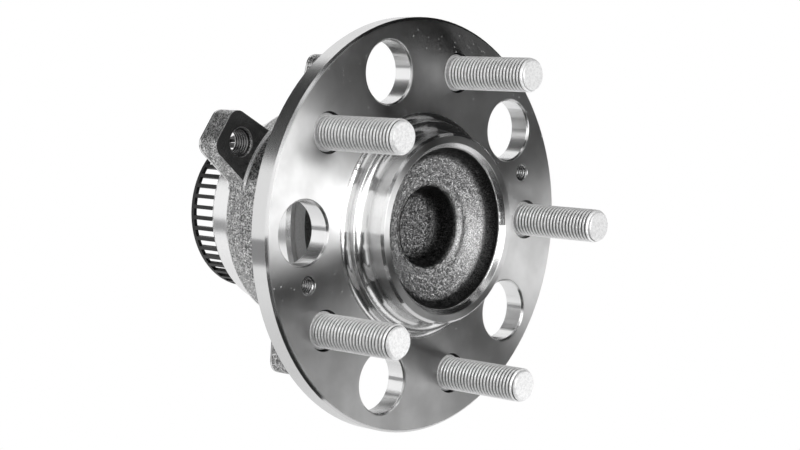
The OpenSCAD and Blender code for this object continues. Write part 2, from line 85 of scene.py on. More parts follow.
# A stud's thread starts a lead-in behind its tip, and a hole's stands out by one at both ends
LEAD_IN = 0.1 * MM

# A thread's profile: where its flank starts and ends, as shares of half a pitch, and how deep its ends
# sink and a hole's crests stand in from the wall, as shares of its depth
CREST_SHARE = 0.30
VALLEY_SHARE = 0.97
SUNK_END = 1.06
HOLE_CREST_INSET = 0.94

# A hole's thread depth, as a share of its pitch
HOLE_DEPTH_SHARE = 0.6

# A stud's chamfer: its rise for each metre along the stud, and how far it clears the core's flat end
TIP_SLOPE = 0.8
TIP_CLEARANCE = 0.08 * MM

# Facets round a thread, and rows of them to the pitch
STUD_MESH = {"Facets": 56, "Rows": 10}
HOLE_MESH = {"Facets": 40, "Rows": 8}

# How close two points of a thread's seam lie to be joined
MERGE_DISTANCE = 0.001 * MM

# Where the hub's surfaces meet: radii about the axis, and stations along it
RECESS_RADIUS = 28.5 * MM
RECESS_MOUTH = -12.8 * MM
RECESS_END = 7.25 * MM
RECESS_WALL = 25.0 * MM
POCKET_RADIUS = 14.6 * MM
POCKET_MOUTH = -3.2 * MM
POCKET_WALL_RADII = (9.5 * MM, 15.0 * MM)
RIM_STATIONS = (-13.9 * MM, -13.6 * MM)
BEVEL_STATIONS = (-13.7 * MM, -12.3 * MM)
BEVEL_RADII = (28.7 * MM, 30.2 * MM)
FACE_STATIONS = (-0.3 * MM, 0.3 * MM)
FACE_RADIUS = 40.1 * MM
RELIEF_RADIUS = 7.45 * MM
RELIEF_START = 0.2 * MM
WINDOW_RADIUS = 11.8 * MM
WINDOW_START = 0.7 * MM
FLANGE_BACK = 8.0 * MM
NECK_END = 23.25 * MM

# The soft roll round the forged pocket: from one radius to another, and its rise in millimetres
POCKET_ROLL = (
    (14.7 * MM, 17.2 * MM, 0.45),
    (17.0 * MM, 18.8 * MM, -0.15),
    (18.6 * MM, 20.3 * MM, 0.15),
)

# Where the outer ring's surfaces meet
RING_FORGED_START = 35.25 * MM
RING_FORGED_END = 58.4 * MM
RING_FORGED_RADIUS = 38.75 * MM
EAR_RADIUS = 42.0 * MM
EAR_FRONT_STATIONS = (49.3 * MM, 49.7 * MM)
EAR_BACK_STATIONS = (59.0 * MM, 59.4 * MM)
# The painted highlight along the edge at the foot of each ear: its stations, its radii and the sine of its
# angle from an ear
EAR_ARC_STATIONS = (48.5 * MM, 49.7 * MM)
EAR_ARC_RADII = (41.0 * MM, 42.8 * MM)
EAR_ARC_SINE = 0.305

# Grooves and grains to the metre
CUTTER_GROOVES = 2600.0
GRINDER_GROOVES = 3200.0
FORGED_CELLS = 2600.0

# The part of a noise's range that is spread over a finish's range
WIDE_SPREAD = (0.3, 0.7)
SPREAD = (0.35, 0.65)
HUB_GRIT_SPREAD = (0.38, 0.68)
RING_GRIT_SPREAD = (0.38, 0.66)
RING_LUMP_SPREAD = (0.40, 0.60)
STUD_BLOTCH_SPREAD = (0.35, 0.60)
SPECK_CLOUD_SPREAD = (0.30, 0.62)

# Draws above which a cell holds a speck, where specks are few and where they crowd
SPECK_LEAST = (0.96, 0.84)

# Width of a speck's soft edge, in cells
SPECK_EDGE = 0.05

# Weight of lumps against grit in a forged surface, and how light they leave the outer ring
LUMP_WEIGHT = 1.6
LUMP_LIGHT = (0.60, 1.0)

# How far the forged finish covers the flange's back, how much painted shade darkens the recess, and the
# light that full painted shade leaves
BACK_FORGED = 0.8
WALL_PAINTED_SHADE = 0.95
POCKET_PAINTED_SHADE = 0.35
PAINTED_SHADE_LEAVES = 0.05

# Roughness of surfaces; a pair is the smoothest and the roughest
TURNED_ROUGH = 0.17
POLISHED_ROUGH = (0.30, 0.33)
WINDOW_ROUGH = 0.22
RELIEF_ROUGH = 0.5
HUB_FORGED_ROUGH = 0.45
RING_FORGED_ROUGH = 0.40
RING_GROUND_ROUGH = (0.18, 0.26)
STUD_ROUGH = (0.34, 0.46)
THREAD_ROUGH = 0.26
GROUND_ROUGH = (0.10, 0.18)
SHEET_ROUGH = (0.34, 0.45)
TONE_RING_ROUGH = (0.42, 0.58)
RUBBER_ROUGH = 0.55
NYLON_ROUGH = 0.45

# Where a thread turns from the crest's colour to the groove's painted shade, with the crest at 0 and the
# valley at 1
STUD_GROOVE = (0.28, 0.80)
HOLE_GROOVE = (0.05, 0.50)


# Node helpers


def add(tree, kind, inputs=None, **settings):
    """A node with its settings and inputs; an input is a value or another node's output."""
    node = tree.nodes.new(kind)
    for key, value in settings.items():
        setattr(node, key, value)
    for key, value in (inputs or {}).items():
        plug(tree, node.inputs[key], value)
    return node


def plug(tree, socket, value):
    """Links an output to the socket, or sets a plain value on it; None leaves it as it is."""
    if isinstance(value, bpy.types.NodeSocket):
        tree.links.new(value, socket)
    elif value is not None:
        socket.default_value = value


def calc(tree, operation, *values):
    """A Math node's output."""
    node = add(tree, "ShaderNodeMath", operation=operation)
    for socket, value in zip(node.inputs, values):
        plug(tree, socket, value)
    return node.outputs[0]


def product(tree, *values):
    """All the values multiplied."""
    result = values[0]
    for value in values[1:]:
        result = calc(tree, "MULTIPLY", result, value)
    return result


def rest_of(tree, value):
    """What the value leaves of one."""
    return calc(tree, "SUBTRACT", 1.0, value)


def vector_calc(tree, operation, *values):
    """A Vector Math node's output, a number for a length and a vector otherwise."""
    node = add(tree, "ShaderNodeVectorMath", operation=operation)
    for socket, value in zip(node.inputs, values):
        plug(tree, socket, value)
    return node.outputs["Value" if operation == "LENGTH" else "Vector"]


def combine(tree, x=0.0, y=0.0, z=0.0):
    """A vector from three numbers."""
    return add(tree, "ShaderNodeCombineXYZ", {"X": x, "Y": y, "Z": z}).outputs[0]


def ramp(tree, value, low, high, start=0.0, end=1.0, smooth=True):
    """The value mapped from low..high to start..end, and held beyond them."""
    node = add(tree, "ShaderNodeMapRange", {"Value": value},
               interpolation_type="SMOOTHSTEP" if smooth else "LINEAR")
    for key, number in (("From Min", low), ("From Max", high), ("To Min", start), ("To Max", end)):
        plug(tree, node.inputs[key], number)
    return node.outputs["Result"]


def above(tree, value, edge, soft):
    """1 where value is over the edge, 0 under it, with a step of soft to either side."""
    return ramp(tree, value, edge - soft, edge + soft)


def below(tree, value, edge, soft):
    """1 where value is under the edge, 0 over it, with a step of soft to either side."""
    return ramp(tree, value, edge + soft, edge - soft)


def band(tree, value, low, high, soft=0.15 * MM):
    """1 where value lies between low and high, 0 elsewhere."""
    rise = ramp(tree, value, low - soft, low + soft)
    fall = ramp(tree, value, high - soft, high + soft, 1.0, 0.0)
    return calc(tree, "MULTIPLY", rise, fall)


def blend_value(tree, factor, a, b):
    """A number between a, at factor 0, and b, at factor 1."""
    node = add(tree, "ShaderNodeMix", {"Factor": factor}, data_type="FLOAT")
    plug(tree, node.inputs[2], a)
    plug(tree, node.inputs[3], b)
    return node.outputs[0]


def blend_vector(tree, factor, a, b):
    """A vector between a, at factor 0, and b, at factor 1."""
    node = add(tree, "ShaderNodeMix", {"Factor": factor}, data_type="VECTOR")
    plug(tree, node.inputs[4], a)
    plug(tree, node.inputs[5], b)
    return node.outputs[1]


def blend_colour(tree, factor, a, b):
    """A colour between a, at factor 0, and b, at factor 1."""
    node = add(tree, "ShaderNodeMix", {"Factor": factor}, data_type="RGBA")
    plug(tree, node.inputs[6], grey(a))
    plug(tree, node.inputs[7], grey(b))
    return node.outputs[2]


def grey(value):
    """A faintly cool grey from one number; other values pass through."""
    return (value, value, value * 1.01, 1.0) if isinstance(value, (int, float)) else value


def seen_directly(tree):
    """1 for rays from the camera and for those that a surface mirrors or lets through, 0 for the rest."""
    path = add(tree, "ShaderNodeLightPath").outputs
    mirrored = calc(tree, "MAXIMUM", path["Is Glossy Ray"], path["Is Transmission Ray"])
    return calc(tree, "MAXIMUM", path["Is Camera Ray"], mirrored)


class Paint:
    """A material under construction, with the object's coordinates at hand."""

    def __init__(self, name):
        self.material = bpy.data.materials.new(name)
        self.material.use_nodes = True
        self.tree = self.material.node_tree
        self.shader = self.tree.nodes["Principled BSDF"]
        self.normal = None
        self.point = add(self.tree, "ShaderNodeTexCoord").outputs["Object"]
        split = add(self.tree, "ShaderNodeSeparateXYZ", {"Vector": self.point})
        self.x, self.y, self.z = split.outputs
        self.radius = vector_calc(self.tree, "LENGTH", combine(self.tree, x=self.x, z=self.z))

    def noise(self, scale, detail=2.0, rough=0.5, point=None):
        """Noise between 0 and 1, at scale grains to the metre."""
        node = add(self.tree, "ShaderNodeTexNoise", {"Vector": point or self.point, "Scale": scale,
                                                     "Detail": detail, "Roughness": rough})
        return node.outputs["Fac"]

    def stored(self, name):
        """A number that the mesh carries at each of its points."""
        node = add(self.tree, "ShaderNodeAttribute", attribute_name=name, attribute_type="GEOMETRY")
        return node.outputs["Fac"]

    def around(self, circle, count, first=0.0):
        """Distance from the nearest of count axes that stand on a circle about the bearing's axis."""
        t = self.tree
        step = TURN / count
        angle = calc(t, "SUBTRACT", calc(t, "ARCTAN2", self.z, self.x), first)
        nearest = calc(t, "MULTIPLY", calc(t, "ROUND", calc(t, "DIVIDE", angle, step)), step)
        off = calc(t, "SUBTRACT", angle, nearest)
        out = calc(t, "SUBTRACT", calc(t, "MULTIPLY", self.radius, calc(t, "COSINE", off)), circle)
        side = calc(t, "MULTIPLY", self.radius, calc(t, "SINE", off))
        return vector_calc(t, "LENGTH", combine(t, x=out, y=side))

    def ear_offset(self):
        """Sine of the angle to the nearest ear.

        The ears stand opposite each other, so two angles do for four.
        """
        t = self.tree
        angle = calc(t, "ARCTAN2", self.z, self.x)
        sines = [calc(t, "ABSOLUTE", calc(t, "SINE", calc(t, "SUBTRACT", angle, ear)))
                 for ear in EAR_ANGLES]
        return calc(t, "MINIMUM", *sines)

    def turned_grain(self, fine, bored=0.0):
        """Noise that only changes across the cutter's grooves, at fine grooves to the metre.

        bored is 1 in a hole beside the axis, where the grooves run round the hole and not round the axis.
        """
        t = self.tree
        outwards = product(t, self.radius, rest_of(t, bored))
        return self.noise(fine, detail=3.0, rough=0.6, point=combine(t, x=outwards, y=self.y))

    def specks(self, scale, least, share):
        """Small spots, 1 inside and 0 outside.

        The space is cut into scale cells to the metre. A cell whose random draw is above least holds one
        spot, and share is the radius of the largest, in cells.
        """
        t = self.tree
        cells = add(t, "ShaderNodeTexVoronoi", {"Vector": self.point, "Scale": scale, "Randomness": 1.0})
        draw = add(t, "ShaderNodeSeparateColor", {"Color": cells.outputs["Color"]}).outputs[0]
        size = ramp(t, draw, least, 1.0, 0.0, share, smooth=False)
        return ramp(t, calc(t, "SUBTRACT", size, cells.outputs["Distance"]), 0.0, SPECK_EDGE)

    def lathe_tangent(self, forged=None, bored=None):
        """Stretches highlights across circular grooves.

        The stretch runs along the bearing's axis where bored is 1, and in any direction where forged is 1.
        """
        t = self.tree
        groove = combine(t, x=product(t, self.z, -1.0), z=self.x)
        groove = add(t, "ShaderNodeVectorTransform", {"Vector": groove}, vector_type="VECTOR",
                     convert_from="OBJECT", convert_to="WORLD").outputs[0]
        normal = add(t, "ShaderNodeNewGeometry").outputs["Normal"]
        across = vector_calc(t, "NORMALIZE", vector_calc(t, "CROSS_PRODUCT", normal, groove))
        if bored is not None:
            across = blend_vector(t, bored, across, (0.0, 1.0, 0.0))
        if forged is not None:
            cells = add(t, "ShaderNodeTexVoronoi", {"Vector": self.point, "Scale": FORGED_CELLS})
            any_way = vector_calc(t, "SUBTRACT", cells.outputs["Color"], (0.5, 0.5, 0.5))
            across = blend_vector(t, forged, across, vector_calc(t, "NORMALIZE", any_way))
        plug(t, self.shader.inputs["Tangent"], across)

    def bump(self, height, strength, distance):
        """Adds a bump layer over those before it."""
        inputs = {"Height": height, "Strength": strength, "Distance": distance, "Normal": self.normal}
        self.normal = add(self.tree, "ShaderNodeBump", inputs).outputs[0]

    def finish(self, colour, rough, metallic=1.0, **others):
        """Sets the shader's inputs, with _ for a space in the others' names, and gives the material."""
        plug(self.tree, self.shader.inputs["Base Color"], grey(colour))
        plug(self.tree, self.shader.inputs["Roughness"], rough)
        plug(self.tree, self.shader.inputs["Metallic"], metallic)
        plug(self.tree, self.shader.inputs["Normal"], self.normal)
        for key, value in others.items():
            plug(self.tree, self.shader.inputs[key.replace("_", " ")], value)
        return self.material


# Materials


def hub_steel(tones):
    """Turned flange, polished pilots and hole walls, forged recess and back, with painted shade in the
    recess and round the studs' feet.
    """
    p = Paint("hub_steel")
    t = p.tree

    # Zones, each 1 on its own surface and 0 elsewhere
    recess = product(t, below(t, p.radius, RECESS_RADIUS, soft=0.2 * MM),
                     above(t, p.y, RECESS_MOUTH, soft=0.4 * MM),
                     below(t, p.y, RECESS_END, soft=0.25 * MM))
    pocket = product(t, below(t, p.radius, POCKET_RADIUS, soft=0.4 * MM),
                     above(t, p.y, POCKET_MOUTH, soft=0.4 * MM))
    back = product(t, above(t, p.y, FLANGE_BACK, soft=0.2 * MM), below(t, p.y, NECK_END, soft=0.25 * MM))
    rim = band(t, p.y, *RIM_STATIONS, soft=0.05 * MM)
    bevel = product(t, band(t, p.y, *BEVEL_STATIONS), band(t, p.radius, *BEVEL_RADII))
    face = product(t, band(t, p.y, *FACE_STATIONS), above(t, p.radius, FACE_RADIUS, soft=0.3 * MM))
    turned = calc(t, "MAXIMUM", face, rim)
    stud_gap = p.around(STUD_CIRCLE, STUD_COUNT)
    relief = product(t, below(t, stud_gap, RELIEF_RADIUS, soft=0.15 * MM),
                     above(t, p.y, RELIEF_START, soft=0.1 * MM))
    window_gap = p.around(STUD_CIRCLE, STUD_COUNT, first=TURN / 2 / STUD_COUNT)
    window = product(t, below(t, window_gap, WINDOW_RADIUS, soft=0.1 * MM),
                     above(t, p.y, WINDOW_START, soft=0.1 * MM))
    forged = calc(t, "MAXIMUM", recess, product(t, back, BACK_FORGED))

    # Textures
    grain = p.turned_grain(CUTTER_GROOVES, window)
    cloud = p.noise(scale=60.0, detail=3.0)
    grit = p.noise(scale=2600.0, detail=2.0, rough=0.7)
    lump = p.noise(scale=420.0, detail=3.0, rough=0.6)
    crowd = ramp(t, p.noise(scale=45.0), *SPECK_CLOUD_SPREAD, *SPECK_LEAST)
    specks = product(t, p.specks(scale=1300.0, least=crowd, share=0.34), face)

    # Painted shade on the recess's wall and in the pocket, where little light reaches, ragged at the
    # pocket's edge
    ragged_radius = calc(t, "ADD", p.radius, product(t, lump, 6.0 * MM))
    pocket_wall = product(t, pocket, ramp(t, ragged_radius, *POCKET_WALL_RADII))
    wall = calc(t, "MAXIMUM", above(t, p.radius, RECESS_WALL, soft=1.2 * MM), pocket_wall)
    # scale here holds the painted shade of the recess, not mill scale on the forging
    scale = calc(t, "MAXIMUM", product(t, wall, WALL_PAINTED_SHADE), product(t, pocket, POCKET_PAINTED_SHADE))
    scale = product(t, scale, recess)

    polished = ramp(t, cloud, *WIDE_SPREAD, *tones.polished_steel)
    machined = blend_value(t, turned, tones.turned_steel, polished)
    machined = blend_value(t, calc(t, "MAXIMUM", window, bevel), machined, tones.hole_walls)
    # Painted shade in the sunk rings round the studs' feet
    machined = blend_value(t, relief, machined, tones.stud_relief_shade)
    rough_metal = product(t, ramp(t, grit, *HUB_GRIT_SPREAD, *tones.hub_forging),
                          ramp(t, scale, 0.0, 1.0, 1.0, PAINTED_SHADE_LEAVES, smooth=False))
    colour = blend_colour(t, forged, machined, rough_metal)

    rough = blend_value(t, turned, TURNED_ROUGH, ramp(t, grain, *WIDE_SPREAD, *POLISHED_ROUGH))
    rough = blend_value(t, window, rough, WINDOW_ROUGH)
    rough = blend_value(t, relief, rough, RELIEF_ROUGH)
    rough = blend_value(t, forged, rough, HUB_FORGED_ROUGH)

    roll = 0.0
    for low, high, rise in POCKET_ROLL:
        roll = calc(t, "ADD", roll, ramp(t, p.radius, low, high, 0.0, rise))
    p.bump(product(t, roll, recess), strength=1.0, distance=1.0 * MM)
    p.bump(product(t, grain, rest_of(t, forged)), strength=0.10, distance=0.03 * MM)
    coarse = calc(t, "ADD", grit, product(t, lump, LUMP_WEIGHT))
    p.bump(product(t, coarse, forged), strength=1.0, distance=0.09 * MM)
    p.lathe_tangent(forged, window)
    return p.finish(colour, rough, metallic=rest_of(t, specks), Anisotropic=1.0)


def ring_steel(tones):
    """Outer ring: forged granular body, machined ears, ground pilot and outboard end, and a painted
    highlight along the edge at the foot of each ear.
    """
    p = Paint("ring_steel")
    t = p.tree

    # Zones, each 1 on its own surface and 0 elsewhere
    outside = above(t, p.radius, EAR_RADIUS, soft=0.1 * MM)
    ear_planes = calc(t, "MAXIMUM", band(t, p.y, *EAR_FRONT_STATIONS), band(t, p.y, *EAR_BACK_STATIONS))
    ear_faces = product(t, ear_planes, outside)
    # A painted highlight along the edge where each ear's front meets the body
    painted_arc_highlight = product(t, band(t, p.y, *EAR_ARC_STATIONS), band(t, p.radius, *EAR_ARC_RADII),
                  below(t, p.ear_offset(), EAR_ARC_SINE, soft=0.035))
    forged = product(t, above(t, p.y, RING_FORGED_START, soft=0.75 * MM),
                     below(t, p.y, RING_FORGED_END, soft=0.2 * MM),
                     above(t, p.radius, RING_FORGED_RADIUS, soft=0.25 * MM),
                     rest_of(t, ear_faces), rest_of(t, painted_arc_highlight))

    # Textures
    grit = p.noise(scale=1700.0, detail=2.0, rough=0.75)
    lump = p.noise(scale=380.0, detail=3.0, rough=0.6)
    grain = p.turned_grain(CUTTER_GROOVES)

    rough_metal = product(t, ramp(t, grit, *RING_GRIT_SPREAD, *tones.ring_forging),
                          ramp(t, lump, *RING_LUMP_SPREAD, *LUMP_LIGHT))
    machined = blend_value(t, ear_faces, tones.ring_ground, tones.ear_faces)
    machined = blend_value(t, painted_arc_highlight, machined, tones.ear_arc_highlight)
    colour = blend_colour(t, forged, machined, rough_metal)
    rough = blend_value(t, forged, ramp(t, grain, *WIDE_SPREAD, *RING_GROUND_ROUGH), RING_FORGED_ROUGH)

    p.bump(product(t, grain, rest_of(t, forged)), strength=0.08, distance=0.03 * MM)
    coarse = calc(t, "ADD", grit, product(t, lump, LUMP_WEIGHT))
    p.bump(product(t, coarse, forged), strength=1.0, distance=0.16 * MM)
    p.lathe_tangent(forged)
    return p.finish(colour, rough, Anisotropic=0.5)


def stud_coat(tones):
    """Bright zinc flake on studs: light, slightly grainy, with painted shade in the thread's grooves."""
    p = Paint("stud_coat")
    t = p.tree
    grit = p.noise(scale=2500.0, detail=2.0, rough=0.6)
    blotch = p.noise(scale=1100.0, detail=3.0, rough=0.6)
    light = product(t, ramp(t, grit, *SPREAD, *tones.stud_coat),
                    ramp(t, blotch, *STUD_BLOTCH_SPREAD, *tones.stud_coat))
    # The thread's grooves take a painted shade
    colour = blend_value(t, ramp(t, p.stored("groove"), *STUD_GROOVE), light, tones.thread_groove_shade)
    p.bump(grit, strength=0.8, distance=0.12 * MM)
    return p.finish(colour, ramp(t, grit, *WIDE_SPREAD, *STUD_ROUGH), metallic=0.4)


def cut_thread(name, crest, groove):
    """Cut thread in a hole: crests of one grey and grooves of another, a painted shade."""
    p = Paint(name)
    t = p.tree
    colour = blend_value(t, ramp(t, p.stored("groove"), *HOLE_GROOVE), crest, groove)
    return p.finish(colour, THREAD_ROUGH)


def ground_steel(tones):
    """Hardened bearing steel, ground and polished."""
    p = Paint("ground_steel")
    t = p.tree
    grain = p.turned_grain(GRINDER_GROOVES)
    p.lathe_tangent()
    p.bump(grain, strength=0.05, distance=0.02 * MM)
    colour = ramp(t, p.noise(scale=90.0), *WIDE_SPREAD, *tones.ground_steel)
    return p.finish(colour, ramp(t, grain, *WIDE_SPREAD, *GROUND_ROUGH), Anisotropic=0.3)


def grained(name, scale, strength, distance):
    """A material under construction with a fine grain in its surface, and that grain."""
    p = Paint(name)
    grain = p.noise(scale, detail=3.0, rough=0.6)
    p.bump(grain, strength, distance)
    return p, grain


def pressed_steel(tones):
    """Zinc-plated sheet and nut."""
    p, grain = grained("pressed_steel", scale=1500.0, strength=0.15, distance=0.08 * MM)
    colour = ramp(p.tree, grain, *SPREAD, *tones.sheet_steel)
    return p.finish(colour, ramp(p.tree, grain, *WIDE_SPREAD, *SHEET_ROUGH), metallic=0.0)


def tone_black(tones):
    """Black phosphate coat."""
    p, grain = grained("tone_black", scale=1800.0, strength=0.25, distance=0.06 * MM)
    colour = ramp(p.tree, grain, *WIDE_SPREAD, *tones.tone_ring)
    return p.finish(colour, ramp(p.tree, grain, *WIDE_SPREAD, *TONE_RING_ROUGH), metallic=0.0)


def seal_rubber(tones):
    """Moulded lip rubber."""
    p, grain = grained("seal_rubber", scale=1500.0, strength=0.3, distance=0.08 * MM)
    return p.finish(ramp(p.tree, grain, *SPREAD, *tones.seal_rubber), RUBBER_ROUGH, metallic=0.0)


def cage_nylon(tones):
    """Moulded ball cage."""
    p, grain = grained("cage_nylon", scale=700.0, strength=0.2, distance=0.08 * MM)
    colour = blend_colour(p.tree, grain, tones.cage_dark, tones.cage_light)
    return p.finish(colour, NYLON_ROUGH, metallic=0.0)


FINISHES = {
    "machined_steel": hub_steel,
    "forged_steel": ring_steel,
    "bearing_steel": ground_steel,
    "stud_steel": stud_coat,
    "sheet_steel": pressed_steel,
    "tone_ring_black": tone_black,
    "seal_rubber": seal_rubber,
    "cage_plastic": cage_nylon,
}


# Mesh makers


def circle_points(radius, count):
    """Points evenly round a circle, as pairs."""
    angles = [TURN * i / count for i in range(count)]
    return [(radius * math.cos(angle), radius * math.sin(angle)) for angle in angles]


def lathe(name, profile, facets):
    """A closed solid turned about the Y axis from (radius, y) points; the first and last radius are 0."""
    verts = []
    rings = []
    for radius, y in profile:
        first = len(verts)
        if radius == 0:
            rings.append([first])
            verts.append((0.0, y, 0.0))
        else:
            rings.append(list(range(first, first + facets)))
            verts += [(x, y, z) for x, z in circle_points(radius, facets)]
    faces = []
    for a, b in zip(rings, rings[1:]):
        for i in range(facets):
            j = (i + 1) % facets
            if len(a) == 1:
                faces.append((a[0], b[j], b[i]))
            elif len(b) == 1:
                faces.append((a[i], a[j], b[0]))
            else:
                faces.append((a[i], a[j], b[j], b[i]))
    mesh = bpy.data.meshes.new(name)
    mesh.from_pydata(verts, [], faces)
    mesh.validate()
    return mesh


def new_object(name, data):
    """An object with the given mesh, lamp or camera, in the scene."""
    obj = bpy.data.objects.new(name, data)
    bpy.context.scene.collection.objects.link(obj)
    return obj


THREAD_INPUTS = (
    # name, kind, default; a tip radius of a metre leaves the tip without a chamfer
    ("Core", "NodeSocketObject", None),
    ("Crest radius", "NodeSocketFloat", 6.0 * MM),
    ("Depth", "NodeSocketFloat", 0.9 * MM),
    ("Pitch", "NodeSocketFloat", 1.5 * MM),
    ("Start", "NodeSocketFloat", 0.0),
    ("Length", "NodeSocketFloat", 30.0 * MM),
    ("Facets", "NodeSocketInt", 48),
    ("Rows", "NodeSocketInt", 8),
    ("Copies", "NodeSocketInt", STUD_COUNT),
    ("Circle radius", "NodeSocketFloat", STUD_CIRCLE),
    ("First angle", "NodeSocketFloat", 0.0),
    ("Tip radius", "NodeSocketFloat", 1.0),
    ("Tip slope", "NodeSocketFloat", TIP_SLOPE),
    ("Material", "NodeSocketMaterial", None),
)


def thread_tree():
    """The geometry nodes of a thread: a helix round a core, repeated round the bearing's axis."""
    found = bpy.data.node_groups.get("Thread pattern")
    if found:
        return found
    tree = bpy.data.node_groups.new("Thread pattern", "GeometryNodeTree")
    for label, kind, value in THREAD_INPUTS:
        socket = tree.interface.new_socket(label, in_out="INPUT", socket_type=kind)
        if value is not None:
            socket.default_value = value
    tree.interface.new_socket("Geometry", in_out="OUTPUT", socket_type="NodeSocketGeometry")
    size = add(tree, "NodeGroupInput").outputs
    helix = add_helix(tree, size)
    core = add(tree, "GeometryNodeObjectInfo", {"Object": size["Core"]}).outputs["Geometry"]
    threaded = add(tree, "GeometryNodeJoinGeometry")
    plug(tree, threaded.inputs[0], helix)
    plug(tree, threaded.inputs[0], core)
    copies = add_copies(tree, size, threaded.outputs[0])
    real = add(tree, "GeometryNodeRealizeInstances", {"Geometry": copies}).outputs[0]
    painted = add(tree, "GeometryNodeSetMaterial", {"Geometry": real, "Material": size["Material"]})
    out = add(tree, "NodeGroupOutput")
    plug(tree, out.inputs[0], painted.outputs[0])
    return tree


def add_helix(tree, size):
    """A grid rolled into a threaded tube about the Y axis; its ends fade out and its tip is chamfered."""
    turns = calc(tree, "DIVIDE", size["Length"], size["Pitch"])
    rows = calc(tree, "CEIL", calc(tree, "MULTIPLY", turns, size["Rows"]))
    grid = add(tree, "GeometryNodeMeshGrid", {
        "Size X": 1.0, "Size Y": 1.0,
        "Vertices X": calc(tree, "ADD", size["Facets"], 1.0), "Vertices Y": calc(tree, "ADD", rows, 1.0)})
    place = add(tree, "GeometryNodeInputPosition").outputs[0]
    place = add(tree, "ShaderNodeSeparateXYZ", {"Vector": place})
    turn_share = calc(tree, "ADD", place.outputs["X"], 0.5)
    along = calc(tree, "MULTIPLY", calc(tree, "ADD", place.outputs["Y"], 0.5), size["Length"])

    # How deep the groove is here, from 0 on the crest to 1 in the valley
    phase = calc(tree, "SUBTRACT", calc(tree, "DIVIDE", along, size["Pitch"]), turn_share)
    swing = calc(tree, "SUBTRACT", calc(tree, "MULTIPLY", calc(tree, "FRACT", phase), 2.0), 1.0)
    valley = ramp(tree, calc(tree, "ABSOLUTE", swing), CREST_SHARE, VALLEY_SHARE, smooth=False)

    # Towards both ends the tube sinks into the core or the wall
    from_end = calc(tree, "MINIMUM", along, calc(tree, "SUBTRACT", size["Length"], along))
    fade = ramp(tree, from_end, 0.0, size["Pitch"])
    cut = blend_value(tree, fade, SUNK_END, valley)
    radius = calc(tree, "SUBTRACT", size["Crest radius"], calc(tree, "MULTIPLY", cut, size["Depth"]))
    chamfer = calc(tree, "ADD", size["Tip radius"], calc(tree, "MULTIPLY", along, size["Tip slope"]))
    radius = calc(tree, "MINIMUM", radius, chamfer)
    angle = calc(tree, "MULTIPLY", turn_share, TURN)
    spot = combine(tree, x=calc(tree, "MULTIPLY", radius, calc(tree, "COSINE", angle)),
                   y=calc(tree, "ADD", size["Start"], along),
                   z=calc(tree, "MULTIPLY", radius, calc(tree, "SINE", angle)))

    marked = add(tree, "GeometryNodeStoreNamedAttribute", {
        "Geometry": grid.outputs["Mesh"], "Name": "groove", "Value": calc(tree, "MULTIPLY", fade, valley)},
        data_type="FLOAT", domain="POINT")
    rolled = add(tree, "GeometryNodeSetPosition", {"Geometry": marked.outputs[0], "Position": spot})
    closed = add(tree, "GeometryNodeMergeByDistance", {
        "Geometry": rolled.outputs[0], "Distance": MERGE_DISTANCE})
    return closed.outputs[0]


def add_copies(tree, size, piece):
    """Copies on the circle round the bearing's axis, each turned by its own angle."""
    points = add(tree, "GeometryNodePoints", {"Count": size["Copies"]}).outputs[0]
    number = add(tree, "GeometryNodeInputIndex").outputs[0]
    step = calc(tree, "DIVIDE", TURN, size["Copies"])
    angle = calc(tree, "ADD", size["First angle"], calc(tree, "MULTIPLY", number, step))
    centre = combine(tree, x=calc(tree, "MULTIPLY", size["Circle radius"], calc(tree, "COSINE", angle)),
                     z=calc(tree, "MULTIPLY", size["Circle radius"], calc(tree, "SINE", angle)))
    placed = add(tree, "GeometryNodeSetPosition", {"Geometry": points, "Position": centre}).outputs[0]
    turned = combine(tree, y=calc(tree, "MULTIPLY", angle, -1.0))
    copies = add(tree, "GeometryNodeInstanceOnPoints", {
        "Points": placed, "Instance": piece, "Rotation": turned})
    return copies.outputs[0]


def baked(name, tree, values, flip=False):
    """Runs a geometry node tree on an empty mesh and returns a plain object."""
    host = new_object(name + "_host", bpy.data.meshes.new(name + "_host"))
    modifier = host.modifiers.new("Nodes", "NODES")
    modifier.node_group = tree
    sockets = {s.name: s.identifier for s in tree.interface.items_tree if s.in_out == "INPUT"}
    for label, value in values.items():
        modifier[sockets[label]] = value
    graph = bpy.context.evaluated_depsgraph_get()
    mesh = bpy.data.meshes.new_from_object(host.evaluated_get(graph), preserve_all_data_layers=True,
                                           depsgraph=graph)
    if not mesh.polygons:
        raise RuntimeError(f"{name} came out empty")
    host.modifiers.remove(modifier)
    bpy.data.objects.remove(host)
    mesh.name = name
    if flip:
        mesh.flip_normals()
    for polygon in mesh.polygons:
        polygon.use_smooth = True
    return new_object(name, mesh)


def smooth_by_angle(obj, degrees):
    """Keeps edges sharper than the angle, and shades the rest smooth."""
    limit = math.radians(degrees)
    work = bmesh.new()
    work.from_mesh(obj.data)
    for edge in work.edges:
        if len(edge.link_faces) == 2:
            edge.smooth = edge.calc_face_angle(0.0) < limit
    work.to_mesh(obj.data)
    work.free()


# Settings


class ThreadSettings(bpy.types.PropertyGroup):
    """Sizes of the threads and of the studs' tips."""

    stud_pitch: bpy.props.FloatProperty(
        name="Stud pitch", description="Thread pitch of the wheel studs",
        default=0.0015, precision=5, unit="LENGTH", subtype="DISTANCE")
    stud_depth: bpy.props.FloatProperty(
        name="Stud depth", description="Depth of the wheel studs' thread",
        default=0.00078, precision=5, unit="LENGTH", subtype="DISTANCE")
    tip_radius: bpy.props.FloatProperty(
        name="Tip radius", description="Radius of the flat end of a wheel stud",
        default=0.0049, precision=5, unit="LENGTH", subtype="DISTANCE")
    screw_pitch: bpy.props.FloatProperty(
        name="Screw pitch", description="Thread pitch in the disc screw holes",
        default=0.001, precision=5, unit="LENGTH", subtype="DISTANCE")
    ear_pitch: bpy.props.FloatProperty(
        name="Ear pitch", description="Thread pitch in the ears' bolt holes",
        default=0.00125, precision=5, unit="LENGTH", subtype="DISTANCE")


